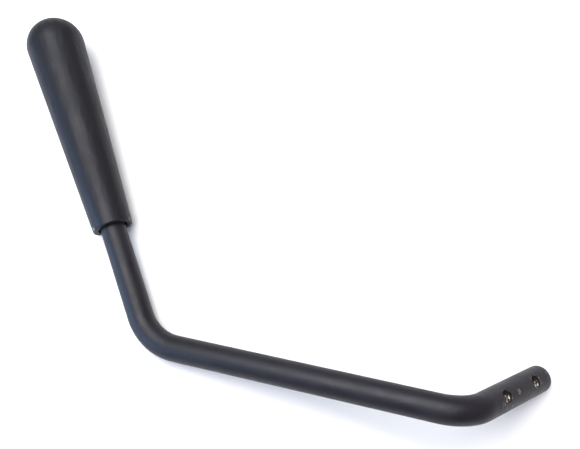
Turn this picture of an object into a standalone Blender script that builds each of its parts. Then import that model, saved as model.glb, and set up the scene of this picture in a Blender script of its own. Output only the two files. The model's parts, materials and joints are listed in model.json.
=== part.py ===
"""Winch handle: a bent round bar carrying a tapered hand grip that revolves on a turned spindle.

Metres, +Z up. The handle lies on the ground as it does when put down, with the arm's plan along +X
and the origin under the middle of its box. The grip and everything inside it is turned about one
axis, and its places along that axis are measured from the grip's mouth, inwards.
"""

import math

import bmesh
import bpy
from mathutils import Matrix, Vector

# Bar, bent twice from half-inch stock. Lengths run between the points where straight runs would meet.
BAR_RADIUS = 0.00635
GRIP_RUN = 0.0610
ARM_LENGTH = 0.1524
FIXING_RUN = 0.0614
GRIP_BEND = math.radians(58.5)
FIXING_BEND = math.radians(65.0)
TURN_BETWEEN_BENDS = math.radians(106.5)
GRIP_BEND_RADIUS = 0.0254
FIXING_BEND_RADIUS = 0.01905
BAR_END_CHAMFER = 0.00075
BEND_STEPS = 12

# Two tapped holes across the bar near its cut end.
HOLE_RADIUS = 0.0028
HOLE_FROM_END = 0.0134
HOLE_PITCH = 0.0254
HOLE_ROLL = math.radians(231.5)
HOLE_SINK_RADIUS = 0.0031
HOLE_SINK_DEPTH = 0.0006

# Spindle turned on the bar's other end, inside the grip.
SPINDLE_RADIUS = 0.0040
SHOULDER_AT = 0.0120
SPINDLE_END_AT = 0.0965
SPINDLE_CHAMFER = 0.0006
SEAL_GROOVE_AT = 0.0050
SEAL_GROOVE_WIDTH = 0.0020
SEAL_GROOVE_RADIUS = 0.0054
RING_GROOVE_AT = 0.0929
RING_GROOVE_WIDTH = 0.0014
RING_GROOVE_RADIUS = 0.0034

# Grip shell.
GRIP_LENGTH = 0.1220
MOUTH_RADIUS = 0.0100
DOME_RADIUS = 0.0150
MOUTH_ROUNDING = 0.0006
SHELL_BORE_RADIUS = 0.00725
MOUTH_BORE_CHAMFER = 0.0003
SHELL_BORE_DEPTH = 0.0990
DRILL_POINT_DEPTH = 0.0030
DOME_STEPS = 10

# What runs inside the grip.
FIT_GAP = 0.00015
WASHER_THICKNESS = 0.0010
WASHER_RADIUS = 0.0068
BUSH_FLANGE_THICKNESS = 0.0015
BUSH_FLANGE_RADIUS = 0.0070
BUSH_BARREL_RADIUS = 0.0056
BUSH_BARREL_LENGTH = 0.0120
LINER_RADIUS = 0.0070
LINER_BORE_RADIUS = 0.00575
RUNNING_RADIUS = 0.00425
SEAL_SECTION_RADIUS = 0.0008
SEAL_CENTRE_RADIUS = 0.00635
WAVE_THICKNESS = 0.0003
WAVE_HEIGHT = 0.00035
WAVE_COUNT = 3
WAVE_RADIUS = 0.0066
RING_THICKNESS = 0.0010
RING_INNER_RADIUS = 0.0036
RING_OUTER_RADIUS = 0.0050
RING_SWELL = 0.0005
RING_LUG_RADIUS = 0.0064
RING_LUG_ANGLE = math.radians(22)
RING_GAP_ANGLE = math.radians(36)
RING_LUG_HOLE_RADIUS = 0.0006

ROUND_SIDES = 48
SHARP_ANGLE = math.radians(30)
LYING_ROUNDS = 60

SHOULDER_WASHER_AT = SHOULDER_AT + FIT_GAP
MOUTH_BUSH_AT = SHOULDER_WASHER_AT + WASHER_THICKNESS + FIT_GAP
LINER_AT = MOUTH_BUSH_AT + BUSH_FLANGE_THICKNESS + FIT_GAP
WAVE_AT = RING_GROOVE_AT - FIT_GAP - WAVE_HEIGHT - WAVE_THICKNESS / 2
END_WASHER_AT = WAVE_AT - WAVE_HEIGHT - WAVE_THICKNESS / 2 - FIT_GAP - WASHER_THICKNESS
INNER_BUSH_AT = END_WASHER_AT - FIT_GAP
LINER_END_AT = INNER_BUSH_AT - BUSH_FLANGE_THICKNESS - FIT_GAP


def clear_scene():
    """Remove every object that the scene starts with."""
    for item in list(bpy.data.objects):
        bpy.data.objects.remove(item, do_unlink=True)


def finish(name, colour, roughness, metallic):
    """A Principled material."""
    material = bpy.data.materials.new(name)
    material.use_nodes = True
    shader = material.node_tree.nodes["Principled BSDF"]
    shader.inputs["Base Color"].default_value = (*colour, 1.0)
    shader.inputs["Roughness"].default_value = roughness
    shader.inputs["Metallic"].default_value = metallic
    return material


def piece(name, mesh_builder, parent, material):
    """Turn a filled bmesh into a smooth-shaded object under its parent."""
    bmesh.ops.recalc_face_normals(mesh_builder, faces=mesh_builder.faces)
    mesh = bpy.data.meshes.new(name)
    mesh_builder.to_mesh(mesh)
    mesh_builder.free()
    mesh.shade_smooth()
    mesh.set_sharp_from_angle(angle=SHARP_ANGLE)
    made = bpy.data.objects.new(name, mesh)
    bpy.context.scene.collection.objects.link(made)
    made.parent = parent
    made.data.materials.append(material)
    return made


def frame(name, parent, matrix):
    """An empty that carries pieces."""
    holder = bpy.data.objects.new(name, None)
    bpy.context.scene.collection.objects.link(holder)
    holder.parent = parent
    holder.matrix_local = matrix
    return holder


def turned(profile, closed):
    """Spin (place, radius) points about Z. A closed profile makes a ring, an open one ends on the axis."""
    made = bmesh.new()
    points = [made.verts.new((radius, 0.0, place)) for place, radius in profile]
    lines = [made.edges.new(pair) for pair in zip(points, points[1:])]
    if closed:
        lines.append(made.edges.new((points[-1], points[0])))
    bmesh.ops.spin(
        made,
        geom=points + lines,
        cent=(0, 0, 0),
        axis=(0, 0, 1),
        angle=math.tau,
        steps=ROUND_SIDES,
        use_merge=True,
    )
    bmesh.ops.remove_doubles(made, verts=made.verts, dist=1e-6)
    return made


def arc(centre, radius, start, end, steps):
    """Points (place, radius) on an arc, angles measured from the axis direction."""
    angles = [start + (end - start) * step / steps for step in range(steps + 1)]
    return [(centre[0] + radius * math.cos(a), centre[1] + radius * math.sin(a)) for a in angles]


def cut(target, cutter_mesh, name, parent, matrix):
    """Take a cutter away from a piece with a Boolean that stays on it."""
    cutter = piece(name, cutter_mesh, parent, target.data.materials[0])
    cutter.matrix_local = matrix
    cutter.hide_render = True
    cutter.display_type = "WIRE"
    boolean = target.modifiers.new(name, "BOOLEAN")
    boolean.operation = "DIFFERENCE"
    boolean.solver = "EXACT"
    boolean.object = cutter


class Bend:
    """One round bend of the bar's centre line, from one straight run into the next."""

    def __init__(self, corner, into, out, radius):
        self.into = into
        self.radius = radius
        self.angle = into.angle(out)
        self.start = corner - into * radius * math.tan(self.angle / 2)
        self.inward = (out - into * out.dot(into)).normalized()

    def place(self, turn):
        """Centre and direction of the bar, a turn of so many radians into the bend."""
        along = self.into * math.sin(turn)
        centre = self.start + self.radius * (along + self.inward * (1 - math.cos(turn)))
        return centre, self.into * math.cos(turn) + self.inward * math.sin(turn)

    def places(self):
        """Centres and directions at even steps through the bend."""
        return [self.place(self.angle * step / BEND_STEPS) for step in range(BEND_STEPS + 1)]

    def lowest(self, down):
        """The point of the bar's surface in this bend that lies furthest along down."""
        turn = math.atan2(down.dot(self.into), -down.dot(self.inward))
        return self.place(min(max(turn, 0.0), self.angle))[0] + down * BAR_RADIUS


class Route:
    """The bar's centre line, in a bench frame with the arm along +X and the grip's bend at the origin."""

    def __init__(self):
        self.arm = Vector((1, 0, 0))
        self.grip = Vector((math.cos(GRIP_BEND), math.sin(GRIP_BEND), 0))
        self.fixing = Vector(
            (
                math.cos(FIXING_BEND),
                math.sin(FIXING_BEND) * math.cos(TURN_BETWEEN_BENDS),
                math.sin(FIXING_BEND) * math.sin(TURN_BETWEEN_BENDS),
            )
        )
        grip_corner = Vector((0, 0, 0))
        fixing_corner = self.arm * ARM_LENGTH
        self.mouth = grip_corner - self.grip * GRIP_RUN
        self.end = fixing_corner + self.fixing * FIXING_RUN
        self.grip_bend = Bend(grip_corner, self.grip, self.arm, GRIP_BEND_RADIUS)
        self.fixing_bend = Bend(fixing_corner, self.arm, self.fixing, FIXING_BEND_RADIUS)
        flat = self.fixing.cross(self.arm).normalized()
        self.hole_axis = Matrix.Rotation(HOLE_ROLL, 3, self.fixing) @ flat

    def spindle_steps(self):
        """Places and radii along the grip's axis, from the spindle's tip out to the full bar."""
        return [
            (SPINDLE_END_AT, SPINDLE_RADIUS - SPINDLE_CHAMFER),
            (SPINDLE_END_AT - SPINDLE_CHAMFER, SPINDLE_RADIUS),
            (RING_GROOVE_AT + RING_GROOVE_WIDTH, SPINDLE_RADIUS),
            (RING_GROOVE_AT + RING_GROOVE_WIDTH, RING_GROOVE_RADIUS),
            (RING_GROOVE_AT, RING_GROOVE_RADIUS),
            (RING_GROOVE_AT, SPINDLE_RADIUS),
            (SHOULDER_AT, SPINDLE_RADIUS),
            (SHOULDER_AT, BAR_RADIUS - BAR_END_CHAMFER),
            (SHOULDER_AT - BAR_END_CHAMFER, BAR_RADIUS),
            (SEAL_GROOVE_AT + SEAL_GROOVE_WIDTH, BAR_RADIUS),
            (SEAL_GROOVE_AT + SEAL_GROOVE_WIDTH, SEAL_GROOVE_RADIUS),
            (SEAL_GROOVE_AT, SEAL_GROOVE_RADIUS),
            (SEAL_GROOVE_AT, BAR_RADIUS),
        ]

    def sections(self):
        """Every (centre, direction, radius) from the spindle's tip to the bar's cut end."""
        found = [(self.mouth - self.grip * place, self.grip, radius) for place, radius in self.spindle_steps()]
        bends = self.grip_bend.places() + self.fixing_bend.places()
        found += [(centre, way, BAR_RADIUS) for centre, way in bends]
        found.append((self.end - self.fixing * BAR_END_CHAMFER, self.fixing, BAR_RADIUS))
        found.append((self.end, self.fixing, BAR_RADIUS - BAR_END_CHAMFER))
        return found


def swept(sections):
    """Skin round sections, carried along without twist, and close both ends."""
    made = bmesh.new()
    side = sections[0][1].orthogonal().normalized()
    rings = []
    for centre, way, radius in sections:
        side = (side - way * side.dot(way)).normalized()
        across = way.cross(side)
        ring = []
        for step in range(ROUND_SIDES):
            turn = math.tau * step / ROUND_SIDES
            ring.append(made.verts.new(centre + radius * (side * math.cos(turn) + across * math.sin(turn))))
        rings.append(ring)
    for first, second in zip(rings, rings[1:]):
        for step in range(ROUND_SIDES):
            after = (step + 1) % ROUND_SIDES
            made.faces.new((first[step], first[after], second[after], second[step]))
    made.faces.new(reversed(rings[0]))
    made.faces.new(rings[-1])
    return made


def crank_bar(route, bench, steel):
    """The bent bar with its spindle, and the two holes across its other end."""
    bar = piece("crank_bar", swept(route.sections()), bench, steel)
    for number in range(2):
        middle = route.end - route.fixing * (HOLE_FROM_END + HOLE_PITCH * number)
        turn = route.hole_axis.to_track_quat("Z", "Y").to_matrix().to_4x4()
        inner = BAR_RADIUS - HOLE_SINK_DEPTH
        outer = inner + (HOLE_SINK_RADIUS - HOLE_RADIUS)
        reach = BAR_RADIUS * 1.5
        profile = [
            (reach, 0.0),
            (reach, HOLE_SINK_RADIUS),
            (outer, HOLE_SINK_RADIUS),
            (inner, HOLE_RADIUS),
            (-inner, HOLE_RADIUS),
            (-outer, HOLE_SINK_RADIUS),
            (-reach, HOLE_SINK_RADIUS),
            (-reach, 0.0),
        ]
        placed = Matrix.Translation(middle) @ turn
        cut(bar, turned(profile, False), f"hole_cutter_{number + 1}", bench, placed)


def taper():
    """Half angle of the grip's cone, and the place and radius where it runs into the dome."""
    centre = GRIP_LENGTH - DOME_RADIUS
    reach = math.hypot(centre, MOUTH_RADIUS)
    slope = math.asin(DOME_RADIUS / reach) - math.atan2(MOUTH_RADIUS, centre)
    return slope, centre


def grip_shell(axis, plastic):
    """The tapered outer handle: a seamless dome and a blind bore open at the mouth."""
    slope, centre = taper()
    mouth = arc(
        (MOUTH_ROUNDING, MOUTH_RADIUS - MOUTH_ROUNDING + MOUTH_ROUNDING * math.tan(slope)),
        MOUTH_ROUNDING,
        math.pi,
        math.pi / 2 + slope,
        4,
    )
    dome = arc((centre, 0.0), DOME_RADIUS, math.pi / 2 + slope, 0.0, DOME_STEPS)
    dome[-1] = (GRIP_LENGTH, 0.0)
    bore = [
        (SHELL_BORE_DEPTH + DRILL_POINT_DEPTH, 0.0),
        (SHELL_BORE_DEPTH, SHELL_BORE_RADIUS),
        (MOUTH_BORE_CHAMFER, SHELL_BORE_RADIUS),
        (0.0, SHELL_BORE_RADIUS + MOUTH_BORE_CHAMFER),
    ]
    return piece("grip_shell", turned(bore + mouth + dome, False), axis, plastic)


def tube(name, start, end, inner, outer, axis, material):
    """A plain ring or tube with square ends."""
    profile = [(start, inner), (start, outer), (end, outer), (end, inner)]
    return piece(name, turned(profile, True), axis, material)


def bush(name, flange_start, flange_end, barrel_end, axis, material):
    """A flanged bush. The flange runs between its two faces, and the barrel goes on to barrel_end."""
    profile = [
        (flange_start, RUNNING_RADIUS),
        (flange_start, BUSH_FLANGE_RADIUS),
        (flange_end, BUSH_FLANGE_RADIUS),
        (flange_end, BUSH_BARREL_RADIUS),
        (barrel_end, BUSH_BARREL_RADIUS),
        (barrel_end, RUNNING_RADIUS),
    ]
    return piece(name, turned(profile, True), axis, material)


def mouth_seal(axis, rubber):
    """The O-ring in the bar's groove just inside the mouth."""
    centre = (SEAL_GROOVE_AT + SEAL_GROOVE_WIDTH / 2, SEAL_CENTRE_RADIUS)
    profile = arc(centre, SEAL_SECTION_RADIUS, 0.0, math.tau, 12)[:-1]
    return piece("mouth_seal", turned(profile, True), axis, rubber)


def wave_washer(axis, steel):
    """A thin ring pressed into waves, which takes up the end play."""
    made = bmesh.new()
    half = WAVE_THICKNESS / 2
    corners = [
        (RUNNING_RADIUS, -half),
        (WAVE_RADIUS, -half),
        (WAVE_RADIUS, half),
        (RUNNING_RADIUS, half),
    ]
    rings = []
    for step in range(ROUND_SIDES):
        turn = math.tau * step / ROUND_SIDES
        lift = WAVE_AT + WAVE_HEIGHT * math.cos(WAVE_COUNT * turn)
        ring = [
            made.verts.new((radius * math.cos(turn), radius * math.sin(turn), lift + height))
            for radius, height in corners
        ]
        rings.append(ring)
    for first, second in zip(rings, rings[1:] + rings[:1]):
        for corner in range(len(corners)):
            after = (corner + 1) % len(corners)
            made.faces.new((first[corner], first[after], second[after], second[corner]))
    return piece("wave_washer", made, axis, steel)


def ring_outline():
    """Outline of the open retaining ring: swelling to its back, with a lug at each end of the gap."""
    outer = []
    inner = []
    for step in range(ROUND_SIDES + 1):
        turn = RING_GAP_ANGLE / 2 + (math.tau - RING_GAP_ANGLE) * step / ROUND_SIDES
        from_gap = min(turn, math.tau - turn) - RING_GAP_ANGLE / 2
        radius = RING_OUTER_RADIUS - RING_SWELL * math.cos(turn)
        if from_gap < RING_LUG_ANGLE:
            radius = RING_LUG_RADIUS
        outer.append((radius * math.cos(turn), radius * math.sin(turn)))
        inner.append((RING_INNER_RADIUS * math.cos(turn), RING_INNER_RADIUS * math.sin(turn)))
    return outer, inner


def retaining_ring(axis, steel):
    """The spring ring that snaps into the spindle's groove."""
    made = bmesh.new()
    start = RING_GROOVE_AT + (RING_GROOVE_WIDTH - RING_THICKNESS) / 2
    outer, inner = ring_outline()
    levels = (start, start + RING_THICKNESS)
    sections = []
    for far, near in zip(outer, inner):
        sections.append([made.verts.new((*point, level)) for point in (near, far) for level in levels])
    for first, second in zip(sections, sections[1:]):
        for low, high in ((0, 1), (1, 3), (3, 2), (2, 0)):
            made.faces.new((first[low], first[high], second[high], second[low]))
    for end in (sections[0], sections[-1]):
        made.faces.new((end[0], end[1], end[3], end[2]))
    ring = piece("retaining_ring", made, axis, steel)
    middle = (RING_INNER_RADIUS + RING_LUG_RADIUS) / 2
    for number, side in enumerate((1, -1)):
        turn = side * (RING_GAP_ANGLE + RING_LUG_ANGLE) / 2
        profile = [
            (RING_THICKNESS * 2, 0.0),
            (RING_THICKNESS * 2, RING_LUG_HOLE_RADIUS),
            (-RING_THICKNESS, RING_LUG_HOLE_RADIUS),
            (-RING_THICKNESS, 0.0),
        ]
        placed = Matrix.Translation((middle * math.cos(turn), middle * math.sin(turn), start))
        cut(ring, turned(profile, False), f"lug_cutter_{number + 1}", axis, placed)


def lowest_on_circle(centre, way, radius, down):
    """The point of a circle that lies furthest along down."""
    return centre + radius * (down - way * down.dot(way)).normalized()


def lying_turn(route):
    """Turn from the bench frame to the handle lying on its grip's rim, the bend there and its cut end.

    The handle's weight falls between those three points, so it stays on them when put down.
    """
    down = -route.hole_axis
    for _ in range(LYING_ROUNDS):
        bend = route.grip_bend.lowest(down)
        mouth = lowest_on_circle(route.mouth, route.grip, MOUTH_RADIUS, down)
        end = lowest_on_circle(route.end, route.fixing, BAR_RADIUS - BAR_END_CHAMFER, down)
        normal = (mouth - bend).cross(end - bend).normalized()
        down = normal if normal.dot(down) > 0 else -normal
    up = -down
    along = (route.arm - up * route.arm.dot(up)).normalized()
    return Matrix((along, up.cross(along), up)).to_4x4()


def set_down(bench):
    """Move the bench frame so that the handle's box stands on the ground with its middle over the origin."""
    bpy.context.view_layer.update()
    corners = [
        item.matrix_world @ vertex.co
        for item in bpy.context.scene.objects
        if item.type == "MESH" and not item.hide_render
        for vertex in item.data.vertices
    ]
    low = Vector(min(point[axis] for point in corners) for axis in range(3))
    high = Vector(max(point[axis] for point in corners) for axis in range(3))
    middle = (low + high) / 2
    bench.matrix_world = Matrix.Translation((-middle.x, -middle.y, -low.z)) @ bench.matrix_world


def build():
    """Make the handle."""
    clear_scene()
    coat = finish("black_coated_steel", (0.012, 0.012, 0.014), 0.55, 0.0)
    plastic = finish("black_moulded_grip", (0.014, 0.014, 0.016), 0.6, 0.0)
    steel = finish("bright_steel", (0.55, 0.55, 0.56), 0.3, 1.0)
    acetal = finish("white_acetal", (0.75, 0.74, 0.70), 0.5, 0.0)
    rubber = finish("black_rubber", (0.02, 0.02, 0.02), 0.8, 0.0)

    route = Route()
    bench = frame("handle_lying", None, lying_turn(route))
    crank_bar(route, bench, coat)

    into_grip = (-route.grip).to_track_quat("Z", "Y").to_matrix().to_4x4()
    along_spindle = Matrix.Translation(route.mouth) @ into_grip
    spindle = frame("spindle_axis", bench, along_spindle)
    revolving = frame("grip_axis", bench, along_spindle)

    mouth_seal(spindle, rubber)
    tube(
        "shoulder_washer",
        SHOULDER_WASHER_AT,
        SHOULDER_WASHER_AT + WASHER_THICKNESS,
        RUNNING_RADIUS,
        WASHER_RADIUS,
        spindle,
        steel,
    )
    tube(
        "end_washer",
        END_WASHER_AT,
        END_WASHER_AT + WASHER_THICKNESS,
        RUNNING_RADIUS,
        WASHER_RADIUS,
        spindle,
        steel,
    )
    wave_washer(spindle, steel)
    retaining_ring(spindle, steel)

    grip_shell(revolving, plastic)
    tube("liner_sleeve", LINER_AT, LINER_END_AT, LINER_BORE_RADIUS, LINER_RADIUS, revolving, steel)
    flange_end = MOUTH_BUSH_AT + BUSH_FLANGE_THICKNESS
    bush("mouth_bush", MOUTH_BUSH_AT, flange_end, flange_end + BUSH_BARREL_LENGTH, revolving, acetal)
    flange_end = INNER_BUSH_AT - BUSH_FLANGE_THICKNESS
    bush("inner_bush", INNER_BUSH_AT, flange_end, flange_end - BUSH_BARREL_LENGTH, revolving, acetal)

    set_down(bench)


build()
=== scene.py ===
"""Looks of the winch handle: coated bar, tapped holes, moulded grip and the parts that it runs on.

Metres, +Z up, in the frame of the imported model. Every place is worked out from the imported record:
the joint gives the grip's axis and mouth, and the mount gives the bar's cut end.
"""

import json
import logging
import math
from dataclasses import dataclass
from enum import Enum
from typing import Any

import bmesh
import bpy
from mathutils import Matrix, Vector

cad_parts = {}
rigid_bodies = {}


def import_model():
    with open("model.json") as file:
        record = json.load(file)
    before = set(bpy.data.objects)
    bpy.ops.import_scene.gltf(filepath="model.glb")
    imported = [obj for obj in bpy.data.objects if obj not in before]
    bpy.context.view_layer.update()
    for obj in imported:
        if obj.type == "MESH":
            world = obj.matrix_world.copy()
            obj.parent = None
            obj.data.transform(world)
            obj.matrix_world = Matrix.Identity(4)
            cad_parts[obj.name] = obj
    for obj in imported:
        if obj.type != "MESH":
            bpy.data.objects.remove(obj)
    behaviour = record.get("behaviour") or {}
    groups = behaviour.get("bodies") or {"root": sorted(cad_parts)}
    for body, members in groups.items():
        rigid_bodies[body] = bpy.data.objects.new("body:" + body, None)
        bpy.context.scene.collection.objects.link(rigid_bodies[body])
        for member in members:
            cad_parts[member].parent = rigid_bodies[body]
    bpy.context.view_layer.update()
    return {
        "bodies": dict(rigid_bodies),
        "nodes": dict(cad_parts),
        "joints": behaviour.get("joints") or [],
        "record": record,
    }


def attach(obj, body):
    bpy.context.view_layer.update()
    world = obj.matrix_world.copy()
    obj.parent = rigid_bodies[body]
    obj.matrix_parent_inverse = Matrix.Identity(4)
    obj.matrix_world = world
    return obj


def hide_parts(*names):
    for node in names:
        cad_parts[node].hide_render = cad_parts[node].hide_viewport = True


SMOOTH_LIMIT = math.radians(32)
TINY = 1e-5  # How far a sharp step in a profile leans, so that its two points stay apart.

log = logging.getLogger("winch_handle")

Colour = tuple[float, float, float]
Metal = tuple[Colour, Colour, tuple[float, float]]  # Clean colour, stained colour, and roughness.
Profile = list[tuple[float, float]]
Node = bpy.types.Node
Socket = bpy.types.NodeSocket
Tree = bpy.types.NodeTree
Material = bpy.types.Material
Piece = bpy.types.Object


class Slot(Enum):
    """Material slots named in the record, for the rebuilt pieces; nothing in this script assigns them."""

    COATING = "bar_coating"
    GRIP = "grip_plastic"
    BRIGHT = "bright_steel"


class Body(Enum):
    """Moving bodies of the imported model."""

    BAR = "bar"
    GRIP = "grip"


@dataclass(frozen=True)
class Grain:
    """Noise cut to a mask: the width of a lump, its finer layers, and the levels of 0 and of 1."""

    size: float
    detail: float
    start: float
    end: float


@dataclass(frozen=True)
class Texture:
    """Noise as relief: the width of a lump, its finer layers, and its depth."""

    size: float
    detail: float
    depth: float


@dataclass(frozen=True)
class Mark:
    """A pale mark, used for rubbed wear on the bar and for painted highlights on the grip's rim: how far
    along and how far round a piece, its radius, and how pale it is.
    """

    along: float
    turn: float
    radius: float
    pale: float

    def point(self, frame: Matrix, around: float) -> Vector:
        """Where the mark lies on a piece with a given frame, Z along it, and a given radius."""
        side = Vector((math.cos(self.turn), math.sin(self.turn), 0)) * around
        return frame @ (side + Vector((0, 0, self.along)))


# ---------------------------------------------------------------- node trees and meshes


class Sheet:
    """A node tree under construction, with its nodes laid out in the order they are made."""

    def __init__(self, tree: Tree) -> None:
        """Start on a tree and empty it."""
        self.tree = tree
        self.tree.nodes.clear()

    def node(self, kind: str, feeds: dict[Any, Any] | None = None, **settings: Any) -> Node:
        """Add a node.

        Args:
            kind: Blender's name for the type of node.
            feeds: A value or an output socket for each input, by the input's name or number.
            **settings: The node's own properties.

        Returns:
            The new node.
        """
        made = self.tree.nodes.new(kind)
        made.location = (220.0 * (len(self.tree.nodes) - 1), 0.0)
        for name, value in settings.items():
            setattr(made, name, value)
        for key, value in (feeds or {}).items():
            if isinstance(value, Socket):
                self.tree.links.new(value, made.inputs[key])
            else:
                made.inputs[key].default_value = value
        return made

    def math(self, operation: str, *terms: Any) -> Socket:
        """Result of a Math node, given a number or an output socket for each input in turn."""
        feeds = dict(enumerate(terms))
        return self.node("ShaderNodeMath", feeds, operation=operation).outputs[0]


class Surface(Sheet):
    """A material's node tree, with the patterns that the finishes share."""

    def __init__(self, name: str) -> None:
        """Make an empty material.

        Args:
            name: The material's name.
        """
        self.material = bpy.data.materials.new(name)
        self.material.use_nodes = True
        super().__init__(self.material.node_tree)
        self.place = self.node("ShaderNodeTexCoord").outputs["Object"]

    def seen_from(self, frame: Matrix) -> Socket:
        """Coordinates measured in a frame of the piece's own."""
        feeds = {
            "Vector": self.place,
            "Location": frame.to_translation(),
            "Rotation": frame.to_euler("XYZ"),
        }
        return self.node("ShaderNodeMapping", feeds, vector_type="TEXTURE").outputs[0]

    def along_and_out(self, frame: Matrix) -> tuple[Socket, Socket]:
        """How far along a frame's Z axis a point lies, and how far out from it.

        Args:
            frame: The frame whose Z axis counts.

        Returns:
            The distance along and the distance out.
        """
        local = self.seen_from(frame)
        along = self.node("ShaderNodeSeparateXYZ", {0: local}).outputs["Z"]
        flat = self.node("ShaderNodeVectorMath", {0: local, 1: (1.0, 1.0, 0.0)}, operation="MULTIPLY")
        out = self.node("ShaderNodeVectorMath", {0: flat.outputs[0]}, operation="LENGTH").outputs["Value"]
        return along, out

    def distance(self, point: Vector) -> Socket:
        """Distance in metres from a point of the model."""
        feeds = {0: self.place, 1: point}
        return self.node("ShaderNodeVectorMath", feeds, operation="DISTANCE").outputs["Value"]

    def step(self, value: Any, start: float, end: float, low: float = 0.0, high: float = 1.0) -> Any:
        """Ease from low to high while a value goes from start to end.

        Args:
            value: The value that drives it.
            start: The value at which it leaves low.
            end: The value at which it reaches high.
            low: The result before start.
            high: The result after end.

        Returns:
            The eased result.
        """
        feeds = {"Value": value, "From Min": start, "From Max": end, "To Min": low, "To Max": high}
        made = self.node("ShaderNodeMapRange", feeds, interpolation_type="SMOOTHSTEP")
        return made.outputs[0]

    def noise(self, size: float, detail: float, where: Any = None) -> Socket:
        """Noise about 0.5 with lumps of a given width, at the piece's own coordinates if where is None."""
        feeds = {"Vector": where or self.place, "Scale": 1.0 / size, "Detail": detail}
        return self.node("ShaderNodeTexNoise", feeds).outputs[0]

    def drawn_out(self, frame: Matrix, stretch: float) -> Socket:
        """Coordinates that stretch a pattern along a frame's Z axis, as a tool or a hand leaves it."""
        feeds = {0: self.seen_from(frame), 1: (1.0, 1.0, 1.0 / stretch)}
        return self.node("ShaderNodeVectorMath", feeds, operation="MULTIPLY").outputs[0]

    def mixed(self, share: Any, first: Any, second: Any) -> Socket:
        """Mix two colours.

        Args:
            share: How much of the second colour shows.
            first: A colour of three numbers, or an output socket.
            second: The same.

        Returns:
            The mixed colour.
        """
        made = self.node("ShaderNodeMix", data_type="RGBA")
        # The inputs for colours are numbers 6 and 7, and the mixed colour is output 2.
        for number, value in ((0, share), (6, first), (7, second)):
            if isinstance(value, Socket):
                self.tree.links.new(value, made.inputs[number])
            elif number:
                made.inputs[number].default_value = (*value, 1.0)
            else:
                made.inputs[number].default_value = value
        return made.outputs[2]

    def grain(self, grain: Grain, low: float = 0.0, high: float = 1.0, where: Any = None) -> Any:
        """Noise cut to a mask that goes from low to high."""
        return self.step(self.noise(grain.size, grain.detail, where), grain.start, grain.end, low, high)

    def marked(self, pale: Any, marks: tuple[Mark, ...], frame: Matrix, around: float, core: float) -> Any:
        """Add pale marks to a mask: rubbed places on the bar, painted highlights on the grip's rim.

        Args:
            pale: The mask so far.
            marks: The rubbed places and painted highlights.
            frame: The frame of the piece that they lie on.
            around: The piece's own radius.
            core: Share of a mark's radius that it keeps at full strength.

        Returns:
            The mask with the marks.
        """
        for mark in marks:
            away = self.distance(mark.point(frame, around))
            near = self.step(away, mark.radius, mark.radius * core, 0.0, mark.pale)
            pale = self.math("MAXIMUM", pale, near)
        return pale

    def texture(self, texture: Texture, under: Any = None, where: Any = None) -> Socket:
        """Bent normal of noise as relief, on top of another relief if there is one."""
        return self.relief(self.noise(texture.size, texture.detail, where), texture.depth, under)

    def tool_rings(self, frame: Matrix, pitch: float, depth: float) -> Socket:
        """Fine rings that a lathe or a grinder leaves round an axis.

        Args:
            frame: The frame whose Z axis they go round.
            pitch: Their spacing.
            depth: Their depth.

        Returns:
            The bent normal.
        """
        along, out = self.along_and_out(frame)
        phase = self.math("MULTIPLY", self.math("ADD", along, out), math.tau / pitch)
        rings = self.math("MULTIPLY_ADD", self.math("SINE", phase), 0.5, 0.5)
        return self.relief(rings, depth)

    def relief(self, height: Any, depth: float, under: Any = None) -> Socket:
        """Turn a height from 0 to 1 into relief.

        Args:
            height: The height.
            depth: What 1 stands for, in metres.
            under: The relief below it, if any.

        Returns:
            The bent normal.
        """
        feeds = {"Height": height, "Distance": depth, "Strength": 1.0}
        if under is not None:
            feeds["Normal"] = under
        return self.node("ShaderNodeBump", feeds).outputs[0]

    def finish(self, **inputs: Any) -> Material:
        """Close the material with a Principled shader.

        Args:
            **inputs: Values or sockets for the shader's inputs, with _ for a space in the name.

        Returns:
            The material.
        """
        feeds = {name.replace("_", " "): value for name, value in inputs.items()}
        shader = self.node("ShaderNodeBsdfPrincipled", feeds)
        self.node("ShaderNodeOutputMaterial", {"Surface": shader.outputs[0]})
        return self.material


def arc(centre: tuple[float, float], radius: float, start: float, end: float, steps: int) -> Profile:
    """Points of (place along the axis, radius) on an arc, with angles from the axis direction."""
    angles = [start + (end - start) * step / steps for step in range(steps + 1)]
    return [(centre[0] + radius * math.cos(a), centre[1] + radius * math.sin(a)) for a in angles]


def turned(profile: Profile, sides: int) -> bmesh.types.BMesh:
    """Spin a profile that starts and ends on the axis round Z.

    Args:
        profile: Points of (place along the axis, radius).
        sides: Number of sides.

    Returns:
        The closed skin, with its faces outwards.
    """
    made = bmesh.new()
    points = [made.verts.new((radius, 0.0, place)) for place, radius in profile]
    lines = [made.edges.new(pair) for pair in zip(points, points[1:])]
    around = {"cent": (0, 0, 0), "axis": (0, 0, 1), "angle": math.tau, "steps": sides}
    bmesh.ops.spin(made, geom=points + lines, use_merge=True, **around)
    bmesh.ops.remove_doubles(made, verts=made.verts, dist=TINY / 10)
    bmesh.ops.recalc_face_normals(made, faces=made.faces)
    return made


def new_object(name: str, data: bpy.types.ID) -> Piece:
    """Put a mesh, a lamp or a camera in the scene.

    Args:
        name: The object's name.
        data: What it carries.

    Returns:
        The object, at the origin.
    """
    made = bpy.data.objects.new(name, data)
    bpy.context.scene.collection.objects.link(made)
    return made


def from_bmesh(name: str, shape: bmesh.types.BMesh, place: Matrix, finish: Material) -> Piece:
    """Turn a bmesh into an object whose place is in its mesh.

    Args:
        name: The object's name.
        shape: The bmesh, which is used up.
        place: Where its own frame stands in the model.
        finish: Its material.

    Returns:
        The object.
    """
    mesh = bpy.data.meshes.new(name)
    shape.transform(place)
    shape.to_mesh(mesh)
    shape.free()
    mesh.materials.append(finish)
    return new_object(name, mesh)


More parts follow.
